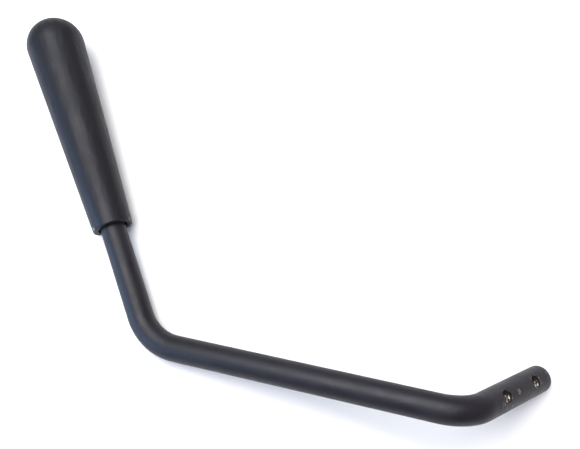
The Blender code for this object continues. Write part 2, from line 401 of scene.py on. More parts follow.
def smooth(mesh: bpy.types.Mesh) -> None:
    """Shade a mesh smooth, but for its sharp corners."""
    mesh.shade_smooth()
    mesh.set_sharp_from_angle(angle=SMOOTH_LIMIT)


def settled(obj: Piece) -> Piece:
    """Replace an object's modifiers by the plain mesh that they make.

    Args:
        obj: The object.

    Returns:
        The same object, with a plain smooth-shaded mesh.
    """
    graph = bpy.context.evaluated_depsgraph_get()
    mesh = bpy.data.meshes.new_from_object(obj.evaluated_get(graph))
    mesh.name = obj.name
    obj.modifiers.clear()
    obj.data = mesh
    smooth(mesh)
    return obj


def cut(target: Piece, cutter: Piece) -> None:
    """Cut a piece with another, which is then removed.

    Args:
        target: The piece that stays.
        cutter: The piece that cuts it and leaves its own finish.
    """
    modifier = target.modifiers.new(cutter.name, "BOOLEAN")
    modifier.operation = "DIFFERENCE"
    modifier.solver = "EXACT"
    modifier.material_mode = "TRANSFER"
    modifier.object = cutter
    settled(target)
    bpy.data.objects.remove(cutter, do_unlink=True)


def run_tree(obj: Piece, tree: Tree, inputs: dict[str, Any]) -> Piece:
    """Put a Geometry Nodes tree on an object and keep the mesh that it makes.

    Args:
        obj: The object that carries it.
        tree: The tree.
        inputs: A value for each of the tree's inputs, by name.

    Returns:
        The same object, with a plain mesh.
    """
    modifier = obj.modifiers.new(tree.name, "NODES")
    modifier.node_group = tree
    for item in tree.interface.items_tree:
        if item.in_out == "INPUT" and item.name in inputs:
            modifier[item.identifier] = inputs[item.name]
    return settled(obj)


def new_tree(name: str, sizes: dict[str, str]) -> tuple[Sheet, Node]:
    """Start a Geometry Nodes tree.

    Args:
        name: The tree's name.
        sizes: The socket type of each named input after the geometry.

    Returns:
        The sheet to build it on, and its Group Input node.
    """
    tree = bpy.data.node_groups.new(name, "GeometryNodeTree")
    tree.interface.new_socket("Geometry", in_out="INPUT", socket_type="NodeSocketGeometry")
    for label, kind in sizes.items():
        tree.interface.new_socket(label, in_out="INPUT", socket_type=kind)
    tree.interface.new_socket("Geometry", in_out="OUTPUT", socket_type="NodeSocketGeometry")
    sheet = Sheet(tree)
    return sheet, sheet.node("NodeGroupInput")


def close_tree(sheet: Sheet, shape: Socket, given: Node) -> Tree:
    """End a Geometry Nodes tree with real geometry and its material.

    Args:
        sheet: The tree's sheet.
        shape: What it has made.
        given: Its Group Input node, which has a Material.

    Returns:
        The tree.
    """
    real = sheet.node("GeometryNodeRealizeInstances", {"Geometry": shape})
    feeds = {"Geometry": real.outputs[0], "Material": given.outputs["Material"]}
    dressed = sheet.node("GeometryNodeSetMaterial", feeds)
    sheet.node("NodeGroupOutput", {0: dressed.outputs[0]})
    return sheet.tree


# ---------------------------------------------------------------- where things are


@dataclass(frozen=True)
class Layout:
    """The bar's route and the grip's axis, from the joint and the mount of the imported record."""

    mouth: Vector
    into_grip: Vector
    end: Vector
    outward: Vector
    grip_run: float = 0.0610
    fixing_run: float = 0.0614
    hole_from_end: float = 0.0134
    hole_pitch: float = 0.0254
    hole_count: int = 2
    hole_roll: float = math.radians(231.5)

    @classmethod
    def from_record(cls, record: dict[str, Any]) -> "Layout":
        """Read the joint and the mount.

        Args:
            record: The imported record.

        Returns:
            The layout.
        """
        joint = record["behaviour"]["joints"][0]
        mount = record["mounts"][0]
        return cls(
            mouth=Vector(joint["pos_m"]),
            into_grip=Vector(joint["axis"]).normalized(),
            end=Vector(mount["pos_m"]),
            outward=Vector(mount["axis"]).normalized(),
        )

    @property
    def grip_corner(self) -> Vector:
        """Where the grip's run and the arm would meet."""
        return self.mouth - self.into_grip * self.grip_run

    @property
    def fixing_corner(self) -> Vector:
        """Where the arm and the drilled run would meet."""
        return self.end - self.outward * self.fixing_run

    @property
    def hole_axis(self) -> Vector:
        """Direction of both cross holes, upwards.

        Returns:
            The direction, square to the bar.
        """
        arm = (self.fixing_corner - self.grip_corner).normalized()
        flat = self.outward.cross(arm).normalized()
        return Matrix.Rotation(self.hole_roll, 3, self.outward) @ flat

    @staticmethod
    def frame(origin: Vector, z: Vector, x_hint: Vector) -> Matrix:
        """A frame with a given Z axis.

        Args:
            origin: Where it stands.
            z: Its Z axis.
            x_hint: A direction that its X axis leans towards.

        Returns:
            The frame.
        """
        across = z.cross(x_hint).normalized()
        turn = Matrix((across.cross(z), across, z)).transposed()
        return Matrix.Translation(origin) @ turn.to_4x4()

    @property
    def grip_frame(self) -> Matrix:
        """Origin in the grip's mouth, Z into the grip."""
        return self.frame(self.mouth, self.into_grip, Vector((0, 0, 1)))

    @property
    def end_frame(self) -> Matrix:
        """Origin in the cut end, Z back along the bar, X the way the holes face."""
        return self.frame(self.end, -self.outward, self.hole_axis)

    def hole_frame(self, number: int) -> Matrix:
        """Frame in the middle of a hole, Z along it and X back along the bar; 0 is next to the cut end."""
        middle = self.end - self.outward * (self.hole_from_end + self.hole_pitch * number)
        return self.frame(middle, self.hole_axis, -self.outward)

    @property
    def hole_frames(self) -> list[Matrix]:
        """The frames of all the holes."""
        return [self.hole_frame(number) for number in range(self.hole_count)]


# ---------------------------------------------------------------- finishes


@dataclass(frozen=True)
class CoatedSteel:
    """Satin black powder coat, thin and chipped at the rims of the holes and at the cut end."""

    layout: Layout
    bar_radius: float
    rim_radius: float
    marks: tuple[Mark, ...]
    coat: Colour = (0.0068, 0.0058, 0.0092)
    coat_worn: Colour = (0.0118, 0.0104, 0.0146)
    dust: Colour = (0.032, 0.030, 0.035)
    rubbed: Colour = (0.190, 0.186, 0.200)
    steel: Colour = (0.50, 0.44, 0.36)
    roughness: tuple[float, float] = (0.45, 0.56)
    steel_polish: float = 0.18
    gloss: float = 0.34
    wear: Grain = Grain(0.009, 4.0, 0.35, 0.75)
    wear_share: float = 0.55
    sheen: Grain = Grain(0.009, 4.0, 0.25, 0.75)
    specks: Grain = Grain(0.00045, 2.0, 0.60, 0.80)
    speck_share: float = 0.45
    chip: Grain = Grain(0.0006, 3.0, 0.80, 0.88)
    rim_reach: float = 0.0003
    rim_wear: float = 0.24
    end_reach: tuple[float, float] = (0.0018, 0.0006)
    end_wear: float = 0.17
    scratch: Grain = Grain(0.00045, 3.0, 0.44, 0.66)
    scratch_stretch: float = 3.5
    mark_core: float = 0.3
    ring_from_end: float = 0.0021
    ring_reach: tuple[float, float] = (0.0005, 0.0001)
    ring_pale: float = 0.22
    coat_depth: float = 0.00006
    peel: Texture = Texture(0.0018, 1.5, 0.00010)
    sand: Texture = Texture(0.00045, 2.0, 0.000026)

    def chips(self, made: Surface) -> Socket:
        """Where bare steel shows.

        Args:
            made: The material under construction.

        Returns:
            1 on bare steel, 0 on coating.
        """
        bare = 0.0
        for frame in self.layout.hole_frames:
            _, out = made.along_and_out(frame)
            near = made.step(out, self.rim_radius + self.rim_reach, self.rim_radius, 0.0, self.rim_wear)
            bare = made.math("MAXIMUM", bare, near)
        along, _ = made.along_and_out(self.layout.end_frame)
        bare = made.math("MAXIMUM", bare, made.step(along, *self.end_reach, 0.0, self.end_wear))
        edge_noise = made.noise(self.chip.size, self.chip.detail)
        return made.step(made.math("ADD", bare, edge_noise), self.chip.start, self.chip.end)

    def scuffs(self, made: Surface) -> Socket:
        """Where the coating is rubbed pale: at the marks, and in a ring where the bar's end is rounded.

        Args:
            made: The material under construction.

        Returns:
            How pale it is, from 0 to 1.
        """
        frame = self.layout.end_frame
        scratch = made.grain(self.scratch, where=made.drawn_out(frame, self.scratch_stretch))
        along, _ = made.along_and_out(frame)
        off_ring = made.math("ABSOLUTE", made.math("SUBTRACT", along, self.ring_from_end))
        ring = made.step(off_ring, *self.ring_reach, 0.0, self.ring_pale)
        pale = made.marked(ring, self.marks, frame, self.bar_radius, self.mark_core)
        return made.math("MULTIPLY", pale, scratch)

    def material(self, name: str) -> Material:
        """Build the finish.

        Args:
            name: The material's name.

        Returns:
            The material.
        """
        made = Surface(name)
        bare = self.chips(made)
        tone = made.mixed(made.grain(self.wear, 0.0, self.wear_share), self.coat, self.coat_worn)
        specks = made.math("MULTIPLY", made.grain(self.specks), self.speck_share)
        speckled = made.mixed(specks, tone, self.dust)
        scuffed = made.mixed(self.scuffs(made), speckled, self.rubbed)
        polish = made.math("MULTIPLY", bare, self.steel_polish)
        sand = made.texture(self.sand, made.texture(self.peel))
        return made.finish(
            Base_Color=made.mixed(bare, scuffed, self.steel),
            Roughness=made.math("SUBTRACT", made.grain(self.sheen, *self.roughness), polish),
            Metallic=bare,
            Specular_IOR_Level=self.gloss,
            Normal=made.relief(made.math("SUBTRACT", 1.0, bare), self.coat_depth, sand),
        )


@dataclass(frozen=True)
class TappedSteel:
    """Tapped steel: bright crests near the surface and oil in the roots, with painted shade deep in the hole
    and down the side away from the light.
    """

    layout: Layout
    crest_radius: float
    root_radius: float
    bright: Colour = (0.90, 0.87, 0.76)
    brown: Colour = (0.15, 0.10, 0.065)
    oily: Colour = (0.020, 0.014, 0.012)
    # Near-black colour painted where the hole's wall lies in shade.
    painted_shade: Colour = (0.008, 0.007, 0.008)
    roughness: tuple[float, float] = (0.26, 0.48)
    metallic: float = 0.45
    sheen: Grain = Grain(0.0005, 3.0, 0.3, 0.7)
    blot: Grain = Grain(0.0010, 3.0, 0.46, 0.52)
    soak: Grain = Grain(0.0014, 3.0, 0.50, 0.58)
    edge_noise: Grain = Grain(0.0007, 3.0, 0.3, 0.7)
    edge_noise_reach: float = 0.0009
    # Side of each hole, in the hole's own frame, that stays lit; the wall away from it gets painted shade.
    lit_side: tuple[float, float, float] = (-0.52, 0.83, 0.0)
    lit_reach: float = 0.0011
    lit_blur: float = 0.0006
    # Depth from the bar's middle within which the wall is painted in shade.
    deep_shade: float = 0.0020
    deep_shade_blur: float = 0.0008
    oil_past_crest: float = 0.00012
    oil_short_of_root: float = 0.00005
    own_reach: float = 1.5  # In root radii.
    pits: Texture = Texture(0.0004, 3.0, 0.00003)

    def masks(self, made: Surface) -> tuple[Socket, Socket]:
        """Work out the oil and the painted shade, hole by hole.

        Args:
            made: The material under construction.

        Returns:
            How oily each point is, and how much painted shade it gets.
        """
        oil: Any = 0.0
        shade_mask: Any = 0.0
        edge_noise = made.grain(self.edge_noise, -self.edge_noise_reach, self.edge_noise_reach)
        for frame in self.layout.hole_frames:
            along, out = made.along_and_out(frame)
            feeds = {0: made.seen_from(frame), 1: self.lit_side}
            side = made.node("ShaderNodeVectorMath", feeds, operation="DOT_PRODUCT").outputs["Value"]
            reach = made.math("ADD", side, edge_noise)
            # Painted shade on the wall away from the lit side, and deep in the hole.
            shaded = made.step(reach, self.lit_reach + self.lit_blur, self.lit_reach - self.lit_blur)
            depth = made.math("ABSOLUTE", along)
            deep_shade = made.step(depth, self.deep_shade + self.deep_shade_blur, self.deep_shade - self.deep_shade_blur)
            dark = made.math("MAXIMUM", shaded, deep_shade)
            start = self.crest_radius + self.oil_past_crest
            rooted = made.step(out, start, self.root_radius - self.oil_short_of_root)
            here = made.math("LESS_THAN", out, self.root_radius * self.own_reach)
            oil = self.pick(made, here, oil, rooted)
            shade_mask = self.pick(made, here, shade_mask, dark)
        return oil, shade_mask

    @staticmethod
    def pick(made: Surface, here: Any, first: Any, second: Any) -> Socket:
        """The second of two numbers where here is 1, and the first where it is 0."""
        feeds = {"Factor": here, "A": first, "B": second}
        return made.node("ShaderNodeMix", feeds, data_type="FLOAT").outputs[0]

    def material(self, name: str) -> Material:
        """Build the finish.

        Args:
            name: The material's name.

        Returns:
            The material.
        """
        made = Surface(name)
        oil, shade_mask = self.masks(made)
        tarnished = made.mixed(made.grain(self.blot), self.bright, self.brown)
        soaked = made.math("MAXIMUM", oil, made.grain(self.soak))
        # The painted shade covers the oil and the tarnish with near-black and makes the wall dull.
        return made.finish(
            Base_Color=made.mixed(shade_mask, made.mixed(soaked, tarnished, self.oily), self.painted_shade),
            Roughness=made.grain(self.sheen, *self.roughness),
            Metallic=made.step(shade_mask, 0.0, 1.0, self.metallic, 0.0),
            Normal=made.texture(self.pits),
        )


@dataclass(frozen=True)
class MouldedGrip:
    """Satin black moulding: fine spark texture, faint flow clouds, palm polish, and highlights painted in
    pale flecks on its rim.
    """

    frame: Matrix
    length: float
    mouth_radius: float
    # Where pale highlights are painted on the rounded rim of the mouth.
    rim_highlights: tuple[Mark, ...]
    base: Colour = (0.0056, 0.0052, 0.0080)
    rubbed: Colour = (0.0105, 0.0100, 0.0128)
    # Pale colour of the highlights painted on the rim.
    highlight_paint: Colour = (0.24, 0.235, 0.25)
    dust: Colour = (0.028, 0.027, 0.031)
    roughness: tuple[float, float] = (0.57, 0.47)
    gloss: float = 0.30
    flow: Grain = Grain(0.007, 4.0, 0.45, 0.75)
    flow_stretch: float = 3.0
    sheen: Grain = Grain(0.007, 4.0, 0.25, 0.8)
    palm_start: float = 0.55  # In grip lengths.
    palm_end: float = 0.95  # In grip lengths.
    rub_elsewhere: float = 0.35
    rub_share: float = 0.6
    specks: Grain = Grain(0.00045, 2.0, 0.60, 0.80)
    speck_share: float = 0.35
    # Noise that breaks the painted rim highlights into flecks.
    rim_glint: Grain = Grain(0.0005, 3.0, 0.40, 0.54)
    rim_highlight_core: float = 0.4
    spark: Texture = Texture(0.00048, 2.0, 0.000020)
    wave: Texture = Texture(0.0035, 1.0, 0.00030)
    wave_stretch: float = 2.5

    def wear(self, made: Surface, flow: Socket) -> Socket:
        """Where hands have rubbed the grip, most of all near its dome.

        Args:
            made: The material under construction.
            flow: Coordinates drawn out along the grip.

        Returns:
            How rubbed it is.
        """
        along, _ = made.along_and_out(self.frame)
        palm = made.step(along, self.length * self.palm_start, self.length * self.palm_end)
        rub = made.math("ADD", palm, self.rub_elsewhere)
        rub = made.math("MULTIPLY", made.grain(self.flow, where=flow), rub)
        return made.math("MULTIPLY", rub, self.rub_share)

    def material(self, name: str) -> Material:
        """Build the finish.

        Args:
            name: The material's name.

        Returns:
            The material.
        """
        made = Surface(name)
        flow = made.drawn_out(self.frame, self.flow_stretch)
        tone = made.mixed(self.wear(made, flow), self.base, self.rubbed)
        specks = made.math("MULTIPLY", made.grain(self.specks), self.speck_share)
        speckled = made.mixed(specks, tone, self.dust)
        # Painted highlights: pale flecks on the rim where its rounding catches the light.
        rim_highlight_mask = made.marked(0.0, self.rim_highlights, self.frame, self.mouth_radius, self.rim_highlight_core)
        rim_glint = made.math("MULTIPLY", rim_highlight_mask, made.grain(self.rim_glint))
        waves = made.drawn_out(self.frame, self.wave_stretch)
        return made.finish(
            Base_Color=made.mixed(rim_glint, speckled, self.highlight_paint),
            Roughness=made.grain(self.sheen, *self.roughness, where=flow),
            Specular_IOR_Level=self.gloss,
            Normal=made.texture(self.wave, made.texture(self.spark), waves),
        )


@dataclass(frozen=True)
class TurnedMetal:
    """Metal with fine rings left by the lathe or the grinder round an axis, and a little staining."""

    frame: Matrix
    clean: Colour
    stained: Colour
    roughness: tuple[float, float]
    ring_pitch: float = 0.00022
    ring_depth: float = 0.000003
    stain: Grain = Grain(0.0030, 4.0, 0.48, 0.72)
    sheen: Grain = Grain(0.0009, 2.0, 0.3, 0.7)

    def material(self, name: str) -> Material:
        """Build the finish under a given name."""
        made = Surface(name)
        return made.finish(
            Base_Color=made.mixed(made.grain(self.stain), self.clean, self.stained),
            Roughness=made.grain(self.sheen, *self.roughness),
            Metallic=1.0,
            Normal=made.tool_rings(self.frame, self.ring_pitch, self.ring_depth),
        )


@dataclass(frozen=True)
class MachinedAcetal:
    """Natural acetal turned from rod: ivory, slightly see-through, with fine tool rings."""

    frame: Matrix
    ivory: Colour = (0.78, 0.76, 0.70)
    greased: Colour = (0.52, 0.47, 0.37)
    roughness: float = 0.46
    grease_polish: float = 0.20
    ring_pitch: float = 0.00030
    ring_depth: float = 0.000004
    grease: Grain = Grain(0.0028, 3.0, 0.50, 0.74)
    glow: float = 0.15
    glow_depth: float = 0.001

    def material(self, name: str) -> Material:
        """Build the finish.

        Args:
            name: The material's name.

        Returns:
            The material.
        """
        made = Surface(name)
        grease = made.grain(self.grease)
        polish = made.math("MULTIPLY", grease, self.grease_polish)
        return made.finish(
            Base_Color=made.mixed(grease, self.ivory, self.greased),
            Roughness=made.math("SUBTRACT", self.roughness, polish),
            Normal=made.tool_rings(self.frame, self.ring_pitch, self.ring_depth),
            Subsurface_Weight=self.glow,
            Subsurface_Scale=self.glow_depth,
        )


@dataclass(frozen=True)
class PatchyFinish:
    """A plain surface in two tones that lie in patches."""

    first: Colour
    second: Colour
    patch: Grain
    roughness: tuple[float, float]
    texture: Texture
    metallic: float = 0.0

    def material(self, name: str) -> Material:
        """Build the finish.

        Args:
            name: The material's name.

        Returns:
            The material.
        """
        made = Surface(name)
        patch = made.grain(self.patch)
        return made.finish(
            Base_Color=made.mixed(patch, self.first, self.second),
            Roughness=made.step(patch, 0.0, 1.0, *self.roughness),
            Metallic=self.metallic,
            Normal=made.texture(self.texture),
        )


@dataclass(frozen=True)
class StruckSteel(PatchyFinish):
    """Steel laid bare by a punch some time ago: dull, brownish and pitted."""

    first: Colour = (0.19, 0.165, 0.145)
    second: Colour = (0.070, 0.054, 0.046)
    patch: Grain = Grain(0.0005, 3.0, 0.42, 0.62)
    roughness: tuple[float, float] = (0.55, 0.80)
    texture: Texture = Texture(0.0003, 3.0, 0.00003)
    metallic: float = 0.2


@dataclass(frozen=True)
class GreasedRubber(PatchyFinish):
    """Black nitrile with a bloom of grease."""

    first: Colour = (0.018, 0.018, 0.018)
    second: Colour = (0.040, 0.038, 0.034)
    patch: Grain = Grain(0.0015, 3.0, 0.40, 0.70)
    roughness: tuple[float, float] = (0.75, 0.42)
    texture: Texture = Texture(0.0003, 2.0, 0.000012)


@dataclass(frozen=True)
class PaperFloor:
    """Matt white background paper with a faint tooth."""

    white: Colour = (0.88, 0.870, 0.85)
    shade: Colour = (0.86, 0.850, 0.83)
    cloud: Grain = Grain(0.25, 3.0, 0.35, 0.65)
    tooth: Texture = Texture(0.0008, 3.0, 0.00001)
    roughness: float = 0.95
    gloss: float = 0.1

    def material(self, name: str) -> Material:
        """Build the finish under a given name."""
        made = Surface(name)
        return made.finish(
            Base_Color=made.mixed(made.grain(self.cloud), self.white, self.shade),
            Roughness=self.roughness,
            Specular_IOR_Level=self.gloss,
            Normal=made.texture(self.tooth),
        )


# ---------------------------------------------------------------- the bar


@dataclass
class BentBar:
    """The bar of half-inch stock: bent twice, turned down in the grip, and drilled near its cut end."""

    layout: Layout
    radius: float = 0.00635
    grip_bend_radius: float = 0.0254
    fixing_bend_radius: float = 0.01905
    end_rounding: float = 0.0012
    sides: int = 144
    bend_steps: int = 40
    rounding_steps: int = 8
    ring_pitch: float = 0.0030
    ring_margin: float = 0.006
    spindle_radius: float = 0.0040
    spindle_end: float = 0.0965
    shoulder: float = 0.0120
    chamfer: float = 0.0006
    seal_groove: tuple[float, float, float] = (0.0050, 0.0070, 0.0054)
    ring_groove: tuple[float, float, float] = (0.0929, 0.0943, 0.0034)
    hole_radius: float = 0.00290
    rim_radius: float = 0.00305
    rim_depth: float = 0.00035
    rim_lift: float = 0.0001
    drill_reach: float = 1.4  # In bar radii.
    hole_sides: int = 96
    punch_from_end: float = 0.0293
    punch_turn: float = math.radians(-5)
    punch_radius: float = 0.0024
    punch_waist: float = 0.0008
    punch_depth: float = 0.0006
    punch_lift: float = 0.1  # In punch depths.
    punch_top: float = 3.0  # In punch depths.
    punch_points: int = 5
    scuffs: tuple[Mark, ...] = (
        Mark(0.0293, math.radians(-5), 0.0016, 0.75),
        Mark(0.0428, math.radians(-25), 0.0022, 0.55),
        Mark(0.0402, math.radians(-40), 0.0020, 0.65),
        Mark(0.0356, math.radians(-58), 0.0024, 0.80),
        Mark(0.0100, math.radians(-12), 0.0020, 0.50),
        Mark(0.0165, math.radians(20), 0.0012, 0.35),
        Mark(0.0024, math.radians(-7), 0.0016, 0.50),
        Mark(0.0022, math.radians(14), 0.0012, 0.50),
    )

    @staticmethod
    def groove_steps(groove: tuple[float, float, float], full: float) -> Profile:
        """Points across one groove, given by its near and far sides and its floor's radius."""
        near, far, floor = groove
        return [(far + TINY, full), (far - TINY, floor), (near + TINY, floor), (near - TINY, full)]

    def spindle_steps(self) -> Profile:
        """Points of (depth from the mouth, radius) inside the grip, from the spindle's tip outwards."""
        return [
            (self.spindle_end, self.spindle_radius - self.chamfer),
            (self.spindle_end - self.chamfer, self.spindle_radius),
            *self.groove_steps(self.ring_groove, self.spindle_radius),
            (self.shoulder + TINY, self.spindle_radius),
            (self.shoulder - TINY, self.radius - self.chamfer),
            (self.shoulder - self.chamfer, self.radius),
            *self.groove_steps(self.seal_groove, self.radius),
        ]

    def end_steps(self) -> Profile:
        """The bar's drilled end: close rings along the holes, then the rounding.

        Returns:
            Points of (distance from the cut end, radius), towards the cut end.
        """
        holes = self.layout.hole_from_end + self.layout.hole_pitch
        count = int((holes + self.ring_margin) / self.ring_pitch)
        rings = [(self.end_rounding + step * self.ring_pitch, self.radius) for step in range(count, 0, -1)]
        centre = (self.end_rounding, self.radius - self.end_rounding)
        return rings + arc(centre, self.end_rounding, math.pi / 2, math.pi, self.rounding_steps)

    def stations(self) -> list[tuple[Vector, float, float]]:
        """The bar's line with its corners still sharp.

        Returns:
            Points, each with the bar's radius there and the radius of its bend.
        """
        at = self.layout
        found = [(at.mouth + at.into_grip * depth, radius, 0.0) for depth, radius in self.spindle_steps()]
        found.append((at.grip_corner, self.radius, self.grip_bend_radius))
        found.append((at.fixing_corner, self.radius, self.fixing_bend_radius))
        found += [(at.end - at.outward * depth, radius, 0.0) for depth, radius in self.end_steps()]
        return found

    def guide(self, name: str) -> Piece:
        """The line that the bar follows, as a mesh of edges.

        Args:
            name: The object's name.

        Returns:
            The line, with the bar's radius and the bend's radius at each point.
        """
        stations = self.stations()
        mesh = bpy.data.meshes.new(name)
        links = [(number, number + 1) for number in range(len(stations) - 1)]
        mesh.from_pydata([point for point, _, _ in stations], links, [])
        for number, label in ((1, "bar_radius"), (2, "bend_radius")):
            values = mesh.attributes.new(label, "FLOAT", "POINT")
            values.data.foreach_set("value", [station[number] for station in stations])
        return new_object(name, mesh)

    def sweep_tree(self) -> Tree:
        """The tree that rounds the line's corners and sweeps a circle along it.

        Returns:
            The tree.
        """
        sizes = {"Sides": "NodeSocketInt", "Bend Steps": "NodeSocketInt", "Material": "NodeSocketMaterial"}
        sheet, given = new_tree("bent_round_bar", sizes)
        line = sheet.node("GeometryNodeMeshToCurve", {"Mesh": given.outputs["Geometry"]})
        bend = sheet.node("GeometryNodeInputNamedAttribute", {"Name": "bend_radius"}, data_type="FLOAT")
        feeds = {"Curve": line.outputs[0], "Count": given.outputs["Bend Steps"], "Radius": bend.outputs[0]}
        bent = sheet.node("GeometryNodeFilletCurve", feeds, mode="POLY")
        feeds = {"Resolution": given.outputs["Sides"], "Radius": 1.0}
        circle = sheet.node("GeometryNodeCurvePrimitiveCircle", feeds)
        size = sheet.node("GeometryNodeInputNamedAttribute", {"Name": "bar_radius"}, data_type="FLOAT")
        feeds = {
            "Curve": bent.outputs[0],
            "Profile Curve": circle.outputs[0],
            "Scale": size.outputs[0],
            "Fill Caps": True,
        }
        skin = sheet.node("GeometryNodeCurveToMesh", feeds)
        return close_tree(sheet, skin.outputs[0], given)

    def hole_cutter(self, frame: Matrix, steel: Material) -> Piece:
        """The drill and countersink for one hole.

        Args:
            frame: The hole's frame.
            steel: The finish that it leaves.

        Returns:
            The cutter.
        """
        reach = self.radius * self.drill_reach
        flare = self.radius + self.rim_lift
        start = flare - self.rim_depth
        widest = self.rim_radius + (reach - flare)
        profile = [(reach, 0.0), (reach, widest), (flare, self.rim_radius), (start, self.hole_radius)]
        profile += [(-place, radius) for place, radius in reversed(profile)]
        return from_bmesh("drill", turned(profile, self.hole_sides), frame, steel)

    def punch_cutter(self, steel: Material) -> Piece:
        """The star-shaped point of a staking punch, a little off the line of the holes.

        Args:
            steel: The finish that it leaves.

        Returns:
            The cutter.
        """
        shape = bmesh.new()
        tip = shape.verts.new((0.0, 0.0, -self.punch_depth))
        top = shape.verts.new((0.0, 0.0, self.punch_depth * self.punch_top))
        lift = self.punch_depth * self.punch_lift
        count = self.punch_points * 2
        ring = []
        for number in range(count):
            radius = self.punch_waist if number % 2 else self.punch_radius
            turn = math.tau * number / count
            ring.append(shape.verts.new((radius * math.cos(turn), radius * math.sin(turn), lift)))
        for first, second in zip(ring, ring[1:] + ring[:1]):
            shape.faces.new((first, second, top))
            shape.faces.new((second, first, tip))
        bmesh.ops.recalc_face_normals(shape, faces=shape.faces)
        turn = Matrix.Rotation(self.punch_turn, 4, "Z") @ Matrix.Rotation(math.pi / 2, 4, "Y")
        place = Matrix.Translation((0, 0, self.punch_from_end)) @ turn
        place = self.layout.end_frame @ (place @ Matrix.Translation((0, 0, self.radius)))
        return from_bmesh("punch_point", shape, place, steel)

    def build(self, coat: Material, steel: Material, struck: Material) -> Piece:
        """Make the bar.

        Args:
            coat: The coating's finish.
            steel: The finish inside the holes.
            struck: The finish of the punched mark.

        Returns:
            The bar, riding on its body.
        """
        inputs = {"Sides": self.sides, "Bend Steps": self.bend_steps, "Material": coat}
        made = run_tree(self.guide("bent_bar"), self.sweep_tree(), inputs)
        for frame in self.layout.hole_frames:
            cut(made, self.hole_cutter(frame, steel))
        cut(made, self.punch_cutter(struck))
        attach(made, Body.BAR.value)
        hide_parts("crank_bar")
        return made


@dataclass
class TappedHoles:
    """The threads inside the bar's two cross holes, which end just under the bar's round surface."""

    layout: Layout
    root_radius: float
    crest_radius: float = 0.00242
    pitch: float = 0.00127
    crest_width: float = 0.00030
    root_width: float = 0.00112
    turns: float = 7.75
    steps_per_turn: int = 48
    form_turn: float = math.radians(-90)

    def thread_tree(self) -> Tree:
        """The tree that winds one thread and repeats it at each hole.

        Returns:
            The tree.
        """
        sizes = {
            "Crest Radius": "NodeSocketFloat",
            "Thread Depth": "NodeSocketFloat",
            "Pitch": "NodeSocketFloat",
            "Turns": "NodeSocketFloat",
            "Steps": "NodeSocketInt",
            "Crest Width": "NodeSocketFloat",
            "Root Width": "NodeSocketFloat",
            "Holes": "NodeSocketInt",
            "Hole Spacing": "NodeSocketVector",
            "Material": "NodeSocketMaterial",
        }
        sheet, given = new_tree("tapped_threads", sizes)
        size = given.outputs
        middle = sheet.math("MULTIPLY_ADD", size["Thread Depth"], 0.5, size["Crest Radius"])
        height = sheet.math("MULTIPLY", size["Pitch"], size["Turns"])
        feeds = {
            "Resolution": size["Steps"],
            "Rotations": size["Turns"],
            "Start Radius": middle,
            "End Radius": middle,
            "Height": height,
        }
        spiral = sheet.node("GeometryNodeCurveSpiral", feeds)
        level = sheet.node("GeometryNodeSetCurveNormal", {"Curve": spiral.outputs[0]}, mode="Z_UP")
        feeds = {
            "Bottom Width": size["Root Width"],
            "Top Width": size["Crest Width"],
            "Height": size["Thread Depth"],
            "Offset": 0.0,
        }
        form = sheet.node("GeometryNodeCurvePrimitiveQuadrilateral", feeds, mode="TRAPEZOID")
        turn = (0.0, 0.0, self.form_turn)
        upright = sheet.node("GeometryNodeTransform", {"Geometry": form.outputs[0], "Rotation": turn})
        feeds = {"Curve": level.outputs[0], "Profile Curve": upright.outputs[0], "Fill Caps": True}
        thread = sheet.node("GeometryNodeCurveToMesh", feeds)
        lift = sheet.node("ShaderNodeCombineXYZ", {"Z": sheet.math("MULTIPLY", height, -0.5)})
        feeds = {"Geometry": thread.outputs[0], "Translation": lift.outputs[0]}
        centred = sheet.node("GeometryNodeTransform", feeds)
        feeds = {"Count": size["Holes"], "Offset": size["Hole Spacing"]}
        row = sheet.node("GeometryNodeMeshLine", feeds, mode="OFFSET")
        feeds = {"Points": row.outputs[0], "Instance": centred.outputs[0]}
        copies = sheet.node("GeometryNodeInstanceOnPoints", feeds)
        return close_tree(sheet, copies.outputs[0], given)

    def build(self, steel: Material) -> Piece:
        """Make the threads.

        Args:
            steel: Their finish.

        Returns:
            The threads of both holes, riding on the bar.
        """
        made = new_object("tapped_threads", bpy.data.meshes.new("tapped_threads"))
        inputs = {
            "Crest Radius": self.crest_radius,
            "Thread Depth": self.root_radius - self.crest_radius,
            "Pitch": self.pitch,
            "Turns": self.turns,
            "Steps": self.steps_per_turn,
            "Crest Width": self.crest_width,
            "Root Width": self.root_width,
            "Holes": self.layout.hole_count,
            "Hole Spacing": (self.layout.hole_pitch, 0.0, 0.0),
            "Material": steel,
        }
        run_tree(made, self.thread_tree(), inputs)
        made.data.transform(self.layout.hole_frame(0))
        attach(made, Body.BAR.value)
        return made


# ---------------------------------------------------------------- the grip


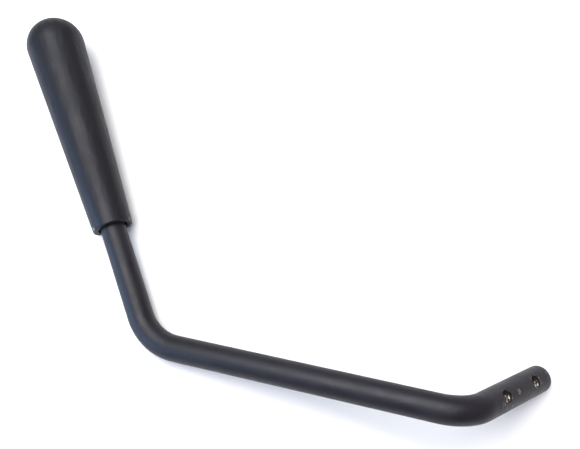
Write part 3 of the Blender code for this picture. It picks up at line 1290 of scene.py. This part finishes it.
@dataclass
class HandGrip:
    """The moulded grip: a cone that swells from its rounded rim to a dome, with a blind bore."""

    layout: Layout
    length: float = 0.1220
    mouth_radius: float = 0.0100
    dome_radius: float = 0.0150
    rim_rounding: float = 0.0007
    bore_radius: float = 0.00725
    bore_rounding: float = 0.0003
    bore_depth: float = 0.0990
    drill_point: float = 0.0030
    sides: int = 192
    dome_steps: int = 48
    cone_steps: int = 24
    rim_steps: int = 10
    lip_steps: int = 6
    # Highlights painted in pale flecks round the rim of the mouth, for the grip's finish.
    rim_highlights: tuple[Mark, ...] = (
        Mark(0.0009, math.radians(-58), 0.0016, 1.0),
        Mark(0.0003, math.radians(-74), 0.0012, 0.80),
        Mark(0.0006, math.radians(74), 0.0015, 0.55),
        Mark(0.0, math.radians(94), 0.0017, 0.60),
        Mark(0.0, math.radians(116), 0.0014, 0.50),
    )

    def profile(self) -> Profile:
        """The grip's section from the bottom of its bore, round its mouth, to the top of its dome.

        Returns:
            Points of (depth from the mouth, radius).
        """
        centre = self.length - self.dome_radius
        reach = math.hypot(centre, self.mouth_radius)
        slope = math.asin(self.dome_radius / reach) - math.atan2(self.mouth_radius, centre)
        rim = self.rim_rounding
        rim_centre = (rim, self.mouth_radius - rim + rim * math.tan(slope))
        points = [(self.bore_depth + self.drill_point, 0.0), (self.bore_depth, self.bore_radius)]
        lip = self.bore_rounding
        points += arc((lip, self.bore_radius + lip), lip, math.pi * 1.5, math.pi, self.lip_steps)
        rim_arc = arc(rim_centre, rim, math.pi, math.pi / 2 + slope, self.rim_steps)
        dome = arc((centre, 0.0), self.dome_radius, math.pi / 2 + slope, 0.0, self.dome_steps)
        dome[-1] = (self.length, 0.0)
        start, end = rim_arc[-1], dome[0]
        cone = []
        for step in range(1, self.cone_steps):
            share = step / self.cone_steps
            cone.append((start[0] + (end[0] - start[0]) * share, start[1] + (end[1] - start[1]) * share))
        return points + rim_arc + cone + dome

    def build(self, finish: Material) -> Piece:
        """Make the grip.

        Args:
            finish: Its finish.

        Returns:
            The grip, riding on its body.
        """
        made = from_bmesh("hand_grip", turned(self.profile(), self.sides), self.layout.grip_frame, finish)
        smooth(made.data)
        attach(made, Body.GRIP.value)
        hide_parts("grip_shell")
        return made


@dataclass
class RunningGear:
    """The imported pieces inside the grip, which keep their shape and get real finishes."""

    layout: Layout
    nodes: dict[str, Piece]
    bright: Metal = ((0.62, 0.61, 0.60), (0.38, 0.36, 0.33), (0.21, 0.37))
    dark: Metal = ((0.20, 0.19, 0.19), (0.11, 0.10, 0.09), (0.35, 0.51))

    def dress(self) -> list[str]:
        """Give each piece its finish.

        Returns:
            The names of the pieces that were dressed.
        """
        axis = self.layout.grip_frame
        turned_steel = TurnedMetal(axis, *self.bright).material("turned_steel")
        spring_steel = TurnedMetal(axis, *self.dark).material("phosphated_spring")
        acetal = MachinedAcetal(axis).material("machined_acetal")
        rubber = GreasedRubber().material("greased_rubber")
        finishes = {
            "liner_sleeve": turned_steel,
            "shoulder_washer": turned_steel,
            "end_washer": turned_steel,
            "wave_washer": spring_steel,
            "retaining_ring": spring_steel,
            "mouth_bush": acetal,
            "inner_bush": acetal,
            "mouth_seal": rubber,
        }
        for name, finish in finishes.items():
            for place in self.nodes[name].material_slots:
                place.material = finish
        return sorted(finishes)


# ---------------------------------------------------------------- studio


@dataclass(frozen=True)
class SoftLight:
    """A large soft lamp that looks at the handle."""

    name: str
    direction: tuple[float, float, float]
    distance: float
    width: float
    height: float
    power: float
    colour: Colour

    def build(self, aim: Vector) -> Piece:
        """Hang the lamp.

        Args:
            aim: The point it looks at.

        Returns:
            The lamp.
        """
        lamp = bpy.data.lights.new(self.name, "AREA")
        lamp.shape = "RECTANGLE"
        lamp.size = self.width
        lamp.size_y = self.height
        lamp.energy = self.power
        lamp.color = self.colour
        made = new_object(self.name, lamp)
        towards = Vector(self.direction).normalized()
        made.location = aim + towards * self.distance
        made.rotation_mode = "QUATERNION"
        made.rotation_quaternion = towards.to_track_quat("Z", "Y")
        return made


@dataclass
class Studio:
    """White paper floor, soft lamps, a pale room and the camera."""

    floor_reach: float = 3.0
    floor_rows: int = 24
    room: Colour = (0.335, 0.305, 0.318)
    room_strength: float = 1.0
    camera_azimuth: float = math.radians(19.38)
    camera_elevation: float = math.radians(72.12)
    camera_roll: float = math.radians(5.51)
    camera_distance: float = 0.3688
    camera_aim: tuple[float, float, float] = (0.0110, 0.0025, 0.0)
    lens: float = 44.35
    near_clip: float = 0.01
    lamp_aim: tuple[float, float, float] = (0.0, 0.0, 0.0)
    lamps: tuple[SoftLight, ...] = (
        SoftLight("key_softbox", (-0.21, 0.05, 0.975), 1.0, 0.76, 0.76, 15.2, (1.0, 0.975, 1.0)),
        SoftLight("skylight", (-0.30, 0.47, 0.81), 1.2, 1.1, 1.1, 4.2, (0.60, 0.86, 1.0)),
        SoftLight("window", (-0.8135, -0.5053, 0.2801), 0.8, 0.42, 0.35, 4.8, (0.29, 0.57, 1.0)),
    )

    def lay_floor(self) -> Piece:
        """Lay the floor.

        Returns:
            The floor.
        """
        shape = bmesh.new()
        rows = self.floor_rows
        bmesh.ops.create_grid(shape, x_segments=rows, y_segments=rows, size=self.floor_reach)
        made = from_bmesh("floor", shape, Matrix.Identity(4), PaperFloor().material("background_paper"))
        return made

    def light_room(self) -> None:
        """Fill the room with pale light."""
        world = bpy.data.worlds.new("pale_room")
        world.use_nodes = True
        sky = world.node_tree.nodes["Background"]
        sky.inputs["Color"].default_value = (*self.room, 1.0)
        sky.inputs["Strength"].default_value = self.room_strength
        bpy.context.scene.world = world

    def set_camera(self) -> Piece:
        """Set up the camera.

        Returns:
            The camera.
        """
        level = Vector((math.cos(self.camera_azimuth), math.sin(self.camera_azimuth), 0.0))
        ahead = Vector((level.y, -level.x, 0.0)) * math.cos(self.camera_elevation)
        back = ahead + Vector((0.0, 0.0, math.sin(self.camera_elevation)))
        upright = back.cross(level)
        right = level * math.cos(self.camera_roll) - upright * math.sin(self.camera_roll)
        turn = Matrix((right, back.cross(right), back)).transposed()
        lens = bpy.data.cameras.new("view_from_above")
        lens.lens = self.lens
        lens.clip_start = self.near_clip
        made = new_object("view_from_above", lens)
        place = Vector(self.camera_aim) + back * self.camera_distance
        made.matrix_world = Matrix.Translation(place) @ turn.to_4x4()
        bpy.context.scene.camera = made
        return made

    def build(self) -> None:
        """Set up the studio."""
        self.lay_floor()
        self.light_room()
        for lamp in self.lamps:
            lamp.build(Vector(self.lamp_aim))
        self.set_camera()
        bpy.context.scene.view_settings.view_transform = "Standard"


# ---------------------------------------------------------------- main


def report(piece: Piece) -> None:
    """Log what a piece came to."""
    log.info("%s: %d faces, %d corners", piece.name, len(piece.data.polygons), len(piece.data.vertices))


def main() -> None:
    """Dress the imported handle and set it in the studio."""
    logging.basicConfig(level=logging.INFO, format="%(name)s %(message)s")
    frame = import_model()
    layout = Layout.from_record(frame["record"])

    bar = BentBar(layout)
    coat = CoatedSteel(layout, bar.radius, bar.rim_radius, bar.scuffs).material("powder_coat")
    threads = TappedHoles(layout, bar.hole_radius)
    tapped = TappedSteel(layout, threads.crest_radius, threads.root_radius).material("tapped_steel")
    report(bar.build(coat, tapped, StruckSteel().material("struck_steel")))
    report(threads.build(tapped))

    grip = HandGrip(layout)
    moulding = MouldedGrip(layout.grip_frame, grip.length, grip.mouth_radius, grip.rim_highlights)
    report(grip.build(moulding.material("moulded_grip")))
    for name in RunningGear(layout, frame["nodes"]).dress():
        log.info("%s: packed shape, new finish", name)

    Studio().build()


if __name__ == "__main__":
    main()
